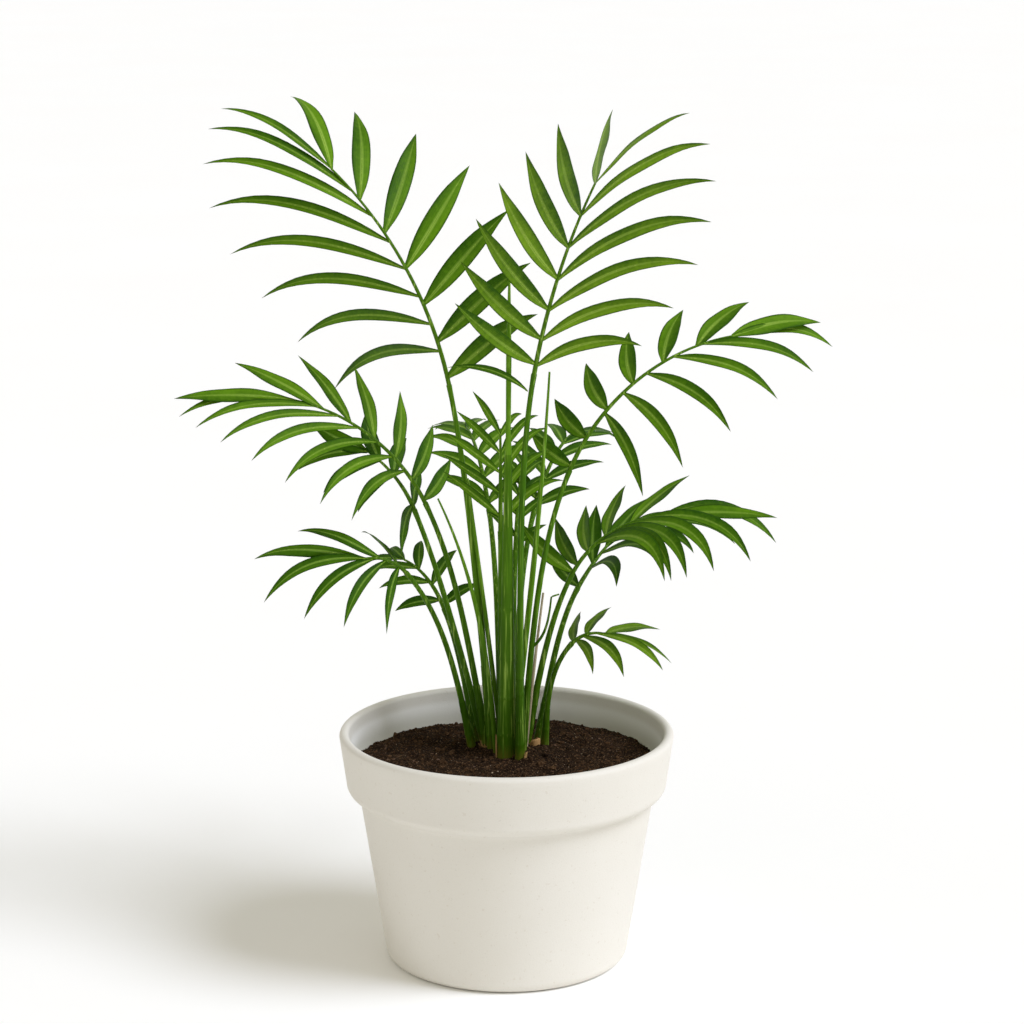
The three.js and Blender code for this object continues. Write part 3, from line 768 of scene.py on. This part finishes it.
def stalk_skin(name, deep, fresh, pale, foot=None):
    """Smooth stalk: long streaks up it, and for one that stands in the clump a foot darkened with painted
    shade.
    """
    skin = Finish(name)
    streaks = skin.noise(900, 2, 0.6, (1, 1, 0.03))
    patches = skin.noise(60)
    specks = skin.noise(700).rising(0.64, 0.74)
    light = skin.kept("tone") * 0.3 + streaks * 1.1 + patches * 0.5 - 0.5
    colour = skin.blend(hue(deep), hue(fresh), light)
    if foot:
        # Painted shade: the foot colour darkens the stalk from 210 mm down to the soil, as under the crown.
        colour = skin.blend(colour, hue(foot), skin.below((210, 105), patches, 40) * 0.6)
        rotten = skin.below(DAMP_HEIGHTS, streaks, 30)
        colour = skin.blend(colour, hue("66601f"), rotten * 0.6)
    colour = skin.blend(colour, hue(pale), streaks.rising(0.55, 0.72) * 0.7)
    colour = skin.blend(colour, hue("5b5a22"), specks * 0.25)
    rough = streaks * 0.2 + 0.32
    return skin.done(
        colour=colour, rough=rough, normal=skin.relief(streaks + patches, 0.08 * MM, 0.6),
        Specular_IOR_Level=LEAF_SHINE)


def husk_skin(name, deep, fresh):
    """Dry papery sheath: torn fibres along it."""
    skin = Finish(name)
    fibres = skin.noise(1400, 3, 0.6, (1, 1, 0.06))
    patches = skin.noise(130, 3)
    colour = skin.blend(hue(deep), hue(fresh), fibres * 0.9 + patches * 0.9 - 0.4)
    return skin.done(
        colour=colour, rough=fibres * 0.2 + 0.65, normal=skin.relief(fibres, 0.12 * MM))


def pot_skin():
    """Matt off-white stoneware: a fine tooth, faint specks, painted light that whitens the inner wall above
    the soil, and a damp line inside.
    """
    skin = Finish("stoneware")
    grain = skin.noise(1500, 3, 0.6)
    cloud = skin.noise(16, 3)
    tan = skin.noise(520).rising(0.66, 0.73)
    dark = skin.noise(760).rising(0.7, 0.76)
    colour = skin.blend(hue("dad5c9"), hue("e1ddd3"), cloud * 1.2 - 0.1)
    colour = skin.blend(colour, hue("d0c9bb"), (grain - 0.45) * 0.6)
    colour = skin.blend(colour, hue("b9a98e"), tan * 0.18)
    colour = skin.blend(colour, hue("8f8576"), dark * 0.16)
    spot = skin.parts(skin.place)
    reach = (spot * spot + spot.other("Y") * spot.other("Y")) ** 0.5
    outer, inner = [radius * MM for radius in LIP_INSIDE]
    inside = reach.rising(outer, inner) * (spot.other("Z") > INSIDE_FOOT * MM)
    # Painted light: the inner wall above the soil is whitened in place of the light that the crown and the
    # pot keep off it.
    colour = skin.blend(colour, hue("f1efe8"), inside * 0.8)
    damp = skin.below(DAMP_HEIGHTS, cloud, 8)
    colour = skin.blend(colour, hue("a8a48c"), inside * damp * 0.5)
    rough = grain * 0.2 + 0.55
    return skin.done(
        colour=colour, rough=rough, normal=skin.relief(grain + tan * 0.4, 0.1 * MM, 0.8),
        Specular_IOR_Level=0.3)


def soil_skin():
    """Dark potting soil, each crumb of its own brown."""
    skin = Finish("potting soil")
    fine = skin.noise(1100, 4, 0.75)
    clods = skin.noise(340, 3, 0.65)
    patches = skin.noise(70, 3)
    crumb = skin.add("ShaderNodeTexVoronoi", None, {"Vector": skin.place, "Scale": 620.0})
    tone = skin.kept("tone")
    light = tone * 0.6 + fine * 0.9 + clods * 0.7 + patches * 0.4 - 0.95
    colour = skin.blend(hue("1f140c"), hue("654a32"), light)
    colour = skin.blend(colour, hue("a08262"), fine.rising(0.56, 0.7) * 0.8)
    height = fine + clods * 1.2 - crumb * 0.8
    return skin.done(
        colour=colour, rough=fine * 0.1 + 0.88, normal=skin.relief(height, 0.9 * MM),
        Specular_IOR_Level=0.05)


def speck_skin(name, deep, fresh):
    skin = Finish(name)
    fine = skin.noise(800, 3)
    colour = skin.blend(hue(deep), hue(fresh), skin.kept("tone") * 0.8 + fine * 0.4 - 0.1)
    return skin.done(colour=colour, rough=fine * 0.2 + 0.7, normal=skin.relief(fine, 0.2 * MM))


# ---- pieces made of rings ----

def solid(name, points, faces, skin, slot):
    mesh = bpy.data.meshes.new(name)
    mesh.from_pydata((np.array(points) * MM).tolist(), [], faces)
    mesh.materials.append(skin)
    mesh.shade_smooth()
    piece = placed(name, mesh)
    return piece


def turned(profile, sides, wander=lambda x, y, height: 0):
    """Points and faces of a profile, (radius, height), turned round the upright axis from pole to pole."""
    points, faces = [(0, 0, profile[0][1])], []
    for radius, height in profile[1:-1]:
        for side in range(sides):
            angle = 2 * math.pi * side / sides
            x, y = radius * math.cos(angle), radius * math.sin(angle)
            points.append((x, y, height + wander(x, y, height)))
    points.append((0, 0, profile[-1][1] + wander(0, 0, profile[-1][1])))
    rings = len(profile) - 2
    for side in range(sides):
        after = (side + 1) % sides
        faces.append((0, 1 + after, 1 + side))
        for ring in range(rings - 1):
            low, high = 1 + ring * sides, 1 + (ring + 1) * sides
            faces.append((low + side, low + after, high + after, high + side))
        last = 1 + (rings - 1) * sides
        faces.append((last + side, last + after, len(points) - 1))
    return points, faces


def corner(radius, height, rounding, start, end, steps):
    """Points round a corner of a profile, from one angle to the other."""
    angles = [math.radians(mix(start, end, step / steps)) for step in range(steps + 1)]
    return [(radius + rounding * math.cos(a), height + rounding * math.sin(a)) for a in angles]


def drawn_close(profile, gap):
    """The profile with no two points further apart than a gap."""
    close = [profile[0]]
    for before, after in zip(profile, profile[1:]):
        count = max(1, math.ceil(math.dist(before, after) / gap))
        for step in range(1, count + 1):
            close.append([mix(low, high, step / count) for low, high in zip(before, after)])
    return close


def pot_profile():
    lip_middle = (LIP_RADIUS + INNER_LIP_RADIUS) / 2
    return [
        (0, 0),
        *corner(FOOT_RADIUS - FOOT_ROUND, FOOT_ROUND, FOOT_ROUND, -90, -5, 10),
        (NECK_RADIUS, BAND_FOOT - BAND_ROUND),
        *corner(BAND_RADIUS - BAND_ROUND, BAND_FOOT, BAND_ROUND, -80, 0, 10),
        *corner(lip_middle, POT_HEIGHT - LIP_ROUND, LIP_ROUND, 0, 180, 14),
        (INNER_SOIL_RADIUS, SOIL_HEIGHT),
        (INNER_NECK_RADIUS, INNER_NECK_HEIGHT),
        (INNER_FOOT_RADIUS, INNER_FOOT_HEIGHT),
        (FLOOR_RADIUS, FLOOR_THICKNESS),
        (0, FLOOR_THICKNESS),
    ]


def soil_wander(x, y, height):
    """How far the soil stands off its profile: waves and a rise on its top, and a dip along the wall."""
    waves = sum(
        rise * math.sin(x / length + turn) * math.cos(y / length * WAVE_SQUASH - turn)
        for rise, length, turn in WAVES)
    heap = waves + RISE_HEIGHT * math.exp(-((math.hypot(x, y - CLUMP_Y) / RISE_REACH) ** 2))
    dip = DIP_DEPTH * max(0, (math.hypot(x, y) - DIP_START) / DIP_WIDTH) ** 2
    return heap * min(1, max(0, height - SOIL_HEIGHT + 1)) - dip


def soil_profile():
    wall = INNER_SOIL_RADIUS - SOIL_GAP
    return [
        (0, FLOOR_THICKNESS + SOIL_GAP),
        (FLOOR_RADIUS - SOIL_GAP, FLOOR_THICKNESS + SOIL_GAP),
        (INNER_FOOT_RADIUS - SOIL_GAP, INNER_FOOT_HEIGHT + SOIL_GAP),
        (INNER_NECK_RADIUS - SOIL_GAP, INNER_NECK_HEIGHT),
        *[(wall * (1 - ring / SOIL_RINGS), SOIL_HEIGHT) for ring in range(SOIL_RINGS)],
        (0, SOIL_HEIGHT),
    ]


def torn_sheath(path, radius_at, heading, arc, reach, flare):
    """A thin strip wrapped round the foot of a cane, torn along its top and standing off there."""
    columns, rows = SHEATH_GRID
    tears = chance.uniform(0.4, 1, columns + 1)
    inner, outer = [], []
    for column in range(columns + 1):
        angle = math.radians(heading + arc * (column / columns - 0.5))
        out = np.array([math.cos(angle), math.sin(angle), 0])
        for row in range(rows + 1):
            share = row / rows
            at = mix(-ROOTED_DEPTH, reach * tears[column], share) / path.length
            standoff = SHEATH_GAP + flare * share ** 2 * tears[column]
            spot = path.at(at) + path.along(0) * min(at, 0) * path.length
            spot += out * (radius_at(max(0, min(1, at * 2))) + standoff)
            inner.append(spot)
            outer.append(spot + out * SHEATH_THICKNESS)
    return inner, outer


def shell(sheets):
    """Closed thin shells from pairs of inner and outer sheets."""
    columns, rows = SHEATH_GRID
    across = rows + 1
    points, faces = [], []
    for inner, outer in sheets:
        base = len(points)
        count = len(inner)
        points += outer + inner

        def quad(a, b, c, d):
            faces.append((base + a, base + b, base + c, base + d))

        for column in range(columns):
            for row in range(rows):
                a = column * across + row
                b, c, d = a + across, a + across + 1, a + 1
                quad(a, b, c, d)
                quad(count + a, count + d, count + c, count + b)
            low, high = column * across, column * across + rows
            quad(low, count + low, count + low + across, low + across)
            quad(high, high + across, count + high + across, count + high)
        last = columns * across
        for row in range(rows):
            quad(row, row + 1, count + row + 1, count + row)
            quad(last + row, count + last + row, count + last + row + 1, last + row + 1)
    return points, faces


# ---- the plant ----

blade_tree = blade_growth()
limb_tree = limb_growth()
crumb_tree = crumb_growth()

LEAF_SKINS = {
    "dark": leaf_skin("leaf deep green", "1c4201", "476f08", "95b856"),
    "mid": leaf_skin("leaf mid green", "254b02", "618b12", "a6c455"),
    "light": leaf_skin("leaf light green", "294d03", "74991c", "b0c95c"),
}
midrib_skin = stalk_skin("leaf midrib", "567c16", "84a634", "a8c258")
rib_skin = stalk_skin("frond rib", "305404", "5a8216", "93b04e")
# The last colour given to these stalk skins is the painted shade over their feet.
cane_skin = stalk_skin("cane green", "254802", "578214", "96b24e", foot="2b4a03")
petiole_skin = stalk_skin("petiole green", "2a5003", "5c8818", "98b552", foot="2e5003")
spear_skin = stalk_skin("spear green", "3a6606", "6a9420", "a2c25c", foot="2e4e03")
dry_skin = husk_skin("dry stalk", "8a7a5c", "cbbd9e")
husk = husk_skin("dry sheath", "5a4720", "c49a5c")
stub_skin = husk_skin("old stub", "7d5a2a", "f2c080")


def three_radii(radii):
    foot, middle, tip = radii
    return lambda share: mix(foot, middle, 2 * share) if share < 0.5 else mix(middle, tip, 2 * share - 1)


def ringed(radius_at, length, first=9, gap=13):
    """A cane's radius with the low rings that old leaves leave on it."""
    rings = np.arange(first, length, gap)
    rings = rings + chance.uniform(-RING_WANDER, RING_WANDER, len(rings))

    def radius(share):
        place = share * length
        swelling = sum(math.exp(-(((place - ring) / RING_REACH) ** 2)) for ring in rings)
        return radius_at(share) * (1 + RING_SWELLING * swelling)
    return radius


def leafy(name, leaves, tone, node):
    """Leaflets, with the rib that carries them, in place of a node."""
    piece = grown(name, leaves.mesh("leaves"), blade_tree, **{
        "Leaf skin": LEAF_SKINS[tone], "Midrib skin": midrib_skin, "Rib skin": rib_skin})
    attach(piece, "root")
    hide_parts(node)
    "leaf_" + tone


# Dry sheaths at the feet of the canes. Each: the side it is on and how far round it reaches, in
# degrees, then how high it stands and how far it stands off, in mm
SHEATHS = dict(
    middle=(185, 40, 14, 0.7),
    upper_right=(-25, 60, 6, 0.7),
    left_arch=(-110, 120, 4, 1.6),
    inner_left=(-90, 80, 5, 0.8),
    inner_right=(-120, 200, 3, 0.9),
    back_left=(70, 150, 9, 0.9),
    back_right=(100, 120, 12, 1.1),
    left_back=(150, 140, 7, 1.0),
)

canes, petioles, shoots, dry = Strands(), Strands(), Strands(), Strands()
sheets = []

for name, frond in FRONDS.items():
    stalk = stem_path(frond, frond["stalk"])
    rib = rib_path(frond, stalk)
    girth = frond["girth"]
    cane_end = frond["cane"] / frond["stalk"]

    def cane_radius(share):
        return girth * mix(1, CANE_TOP_SHARE, share)

    def petiole_radius(share):
        slim = mix(girth * PETIOLE_FOOT_SHARE, NECK_RADIUS_OF_FROND, share)
        return slim + NECK_SWELLING * math.exp(-(((1 - share) * frond["stalk"] / NECK_REACH) ** 2))

    tone = chance.uniform(0, 1)
    add_limb(canes, stalk, 0, cane_end, ringed(cane_radius, frond["cane"]), CANE_STEPS, tone, rooted=True)
    add_limb(petioles, stalk, cane_end * PETIOLE_START, 1, petiole_radius, PETIOLE_STEPS, tone)
    if name in SHEATHS:
        sheets.append(torn_sheath(stalk, cane_radius, *SHEATHS[name]))

    leaves = Strands()
    add_limb(leaves, rib, 0, 1, lambda share: mix(NECK_RADIUS_OF_FROND, RIB_TIP_RADIUS, share), RIB_STEPS)
    for sign, row in ((-1, frond["left"]), (1, frond["right"])):
        for number in range(row["count"]):
            share = mix(row["first"], 1, (number / (row["count"] - 1)) ** frond["gather"])
            add_leaflet(leaves, frond, rib, row, sign, share)
    leafy("leaves_" + name, leaves, frond["tone"], "frond_" + name)
    if "lone" in frond:
        lone = Strands()
        add_leaflet(lone, frond, stalk, frond["lone"], -1, frond["lone"]["first"])
        leafy("lone_leaflet_" + name, lone, frond["lone"]["tone"], "lone_leaf_" + name)

middle = stem_path(MIDDLE, MIDDLE["length"])
middle_top = MIDDLE["cane"] / MIDDLE["length"]
middle_cane = three_radii(MIDDLE_CANE_RADII)
add_limb(
    canes, middle, 0, middle_top, ringed(middle_cane, MIDDLE["cane"], first=12, gap=22),
    MIDDLE_CANE_STEPS, tone=0.6, rooted=True)
sheets.append(torn_sheath(middle, middle_cane, *SHEATHS["middle"]))


def spear_radius(share):
    """The furled leaf's radius, with the collar that it leaves the cane by."""
    collar = MIDDLE_CANE_RADII[2] - MIDDLE_SPEAR_RADII[0]
    past = share * (MIDDLE["length"] - MIDDLE["cane"])
    return three_radii(MIDDLE_SPEAR_RADII)(share) + collar * math.exp(-((past / COLLAR_REACH) ** 2))


add_limb(shoots, middle, middle_top, 1, spear_radius, SPEAR_STEPS, tone=0.7)


def twig_lean(share):
    return TWIG["lean"] + TWIG["bend"] * (1 - share) ** 3 if share < TWIG["snap"] else TWIG["snapped"]


old_twig = Path(TWIG["foot"], 0, twig_lean, TWIG["length"])
add_limb(petioles, old_twig, 0, 1, lambda share: mix(*TWIG["radii"], share), TWIG_STEPS, tone=0.1)
for name, shoot in SHOOTS.items():
    path = stem_path(shoot, shoot["length"])
    bed = dry if name == "dry_stalk" else shoots
    add_limb(bed, path, 0, 1, three_radii(shoot["radii"]), SHOOT_STEPS, tone=0.6, rooted=True)

for name, strands, skin, slot, nodes in (
    ("canes", canes, cane_skin, "cane", ["cane_" + n for n in FRONDS] + ["cane_middle"]),
    ("petioles", petioles, petiole_skin, "petiole", ["petiole_" + n for n in FRONDS]),
    ("shoots", shoots, spear_skin, "spear", ["spear_middle", "spear_right", "spear_left", "spear_inner"]),
    ("dry_stem", dry, dry_skin, "dry_stalk", ["dry_stalk"]),
):
    piece = grown(name, strands.mesh(name), limb_tree, Skin=skin)
    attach(piece, "root")
    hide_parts(*nodes)

old_stub = Path(STUB["foot"], STUB["head"], lambda share: STUB["lean"], STUB["length"])
stub_sheet = torn_sheath(old_stub, lambda share: STUB["radius"], *STUB["torn"])
for name, torn, skin in (("torn_sheaths", sheets, husk), ("torn_stub", [stub_sheet], stub_skin)):
    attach(solid(name, *shell(torn), skin, "dry_stalk"), "root")

# ---- the pot and its soil ----

pot_form = turned(drawn_close(pot_profile(), PROFILE_GAP), POT_SIDES)
pot = solid("stoneware_pot", *pot_form, pot_skin(), "pot")
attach(pot, "root")
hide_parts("pot")

earth = soil_skin()
soil = solid("soil_bed", *turned(soil_profile(), SOIL_SIDES, soil_wander), earth, "soil")
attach(soil, "root")
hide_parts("soil")

for name, skin, number, smallest, largest, facets, seed in (
    ("fine_crumbs", earth, 420000.0, 0.25, 1.0, 1, 3),
    ("large_crumbs", earth, 30000.0, 0.7, 2.1, 2, 8),
    ("pale_specks", speck_skin("pale speck", "6d5a45", "c4b096"), 16000.0, 0.15, 0.5, 1, 13),
    ("bark_bits", speck_skin("bark bit", "33210f", "6d503a"), 14000.0, 0.3, 1.1, 1, 21),
):
    crumbs = grown(name, soil.data.copy(), crumb_tree, Seed=seed, Facets=facets, Skin=skin, **{
        "Density": number, "Smallest": smallest * MM, "Largest": largest * MM})
    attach(crumbs, "root")

# ---- floor, light and camera ----

CAMERA_SPOT = (2.8, -1500, 567)
CAMERA_DIP = 12.56
PIXELS_PER_SLOPE = 3067
PICTURE_SIDE = 1024
SENSOR_WIDTH = 36
FLOOR_REACH = 16
BAND_EDGE = (0.14, 0.36)
KEY_AZIMUTH = -20
KEY_HEIGHT = 46

view = bpy.context.scene
view.view_settings.view_transform = "Standard"

lens = bpy.data.cameras.new("camera")
lens.sensor_width = SENSOR_WIDTH
lens.lens = SENSOR_WIDTH * PIXELS_PER_SLOPE / PICTURE_SIDE
lens.clip_start = 0.05
lens.clip_end = 60
camera = placed("camera", lens)
camera.location = [part * MM for part in CAMERA_SPOT]
camera.rotation_euler = (math.radians(90 - CAMERA_DIP), 0, 0)
view.camera = camera

floor_skin = Finish("pale floor")
floor_tone = floor_skin.noise(3)
floor_finish = floor_skin.done(
    colour=floor_skin.blend(hue("fffdf9"), hue("fffffc"), floor_tone), rough=floor_tone * 0.1 + 0.7)
floor_mesh = bpy.data.meshes.new("floor")
corners = [(x * FLOOR_REACH, y * FLOOR_REACH, 0) for x, y in ((-1, -1), (1, -1), (1, 1), (-1, 1))]
floor_mesh.from_pydata(corners, [], [(0, 1, 2, 3)])
floor_mesh.materials.append(floor_finish)
floor = placed("floor", floor_mesh)

# A soft dome of light over a pale band that meets the floor
world = bpy.data.worlds.new("studio")
world.use_nodes = True
view.world = world
dome = Nodes(world.node_tree)
dome.tree.nodes.clear()
sight = dome.add("ShaderNodeTexCoord").other("Generated")
steepness = dome.parts(sight).other("Z")
band = dome.add("ShaderNodeBackground", None, {"Color": (1.0, 1.0, 1.0, 1), "Strength": 1.0})
above = dome.add("ShaderNodeBackground", None, {"Color": (1.04, 1.0, 0.88, 1), "Strength": 0.5})
both = dome.add("ShaderNodeMixShader", None, {0: steepness.rising(*BAND_EDGE), 1: band, 2: above})
dome.add("ShaderNodeOutputWorld", None, {"Surface": both})

lamp = bpy.data.lights.new("key", "SUN")
lamp.energy = 2.2
lamp.angle = math.radians(30)
lamp.color = (0.95, 1.0, 1.16)
key = placed("key", lamp)
key.rotation_euler = (math.radians(90 - KEY_HEIGHT), 0, math.radians(KEY_AZIMUTH + 90))
